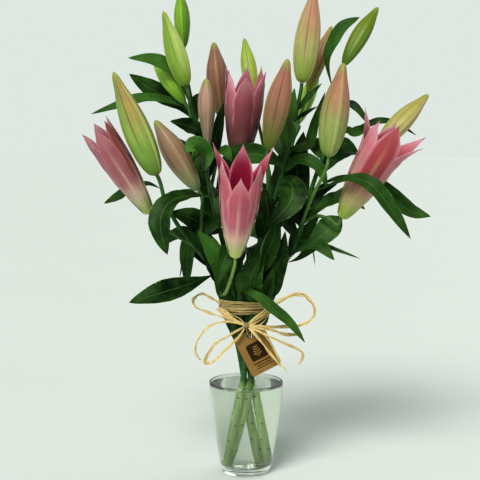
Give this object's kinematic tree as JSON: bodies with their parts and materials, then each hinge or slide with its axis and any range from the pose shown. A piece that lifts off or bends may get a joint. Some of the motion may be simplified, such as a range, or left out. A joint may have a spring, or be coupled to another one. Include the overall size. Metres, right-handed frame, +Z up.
{
  "type": "lilies in a vase",
  "caption": "Bouquet of cut oriental lilies, buds and opening flowers on leafy stems tied with raffia, standing in a clear glass vase of water.",
  "frame": {"origin": "middle of the vase's flat foot, on the surface it stands on", "axes": "+Z up, -Y towards the viewer of the picture, +X to the viewer's right"},
  "size_m": [0.4158, 0.2, 0.589],
  "materials": {
    "clear_glass": "clear polished glass",
    "water": "clear still water",
    "foliage": "waxy dark green leaf and stem",
    "green_bud": "smooth waxy green bud",
    "blushed_bud": "smooth bud, copper pink over green",
    "pink_petal": "soft satin petal, paler at the margins",
    "stamens": "pale green filaments, brown anthers",
    "raffia": "dry fibrous straw-coloured strip",
    "kraft_card": "matte brown kraft card"
  },
  "bodies": {
    "root": {"vase": "clear_glass", "water": "water", "leafy_stem_1": "foliage", "leafy_stem_2": "foliage", "leafy_stem_3": "foliage", "leafy_stem_4": "foliage", "bud_01": "green_bud", "bud_02": "green_bud", "bud_03": "green_bud", "bud_04": "green_bud", "bud_05": "blushed_bud", "bud_06": "blushed_bud", "bud_07": "green_bud", "bud_08": "blushed_bud", "bud_09": "blushed_bud", "bud_10": "blushed_bud", "bud_11": "green_bud", "bud_12": "blushed_bud", "bud_13": "green_bud", "bud_14": "blushed_bud", "bud_15": "green_bud", "bloom_1": "pink_petal", "bloom_2": "pink_petal", "bloom_3": "pink_petal", "bloom_4": "pink_petal", "stamens_1": "stamens", "stamens_2": "stamens", "stamens_3": "stamens", "stamens_4": "stamens", "raffia_tie": "raffia", "kraft_tag": "kraft_card"}
  },
  "joints": []
}
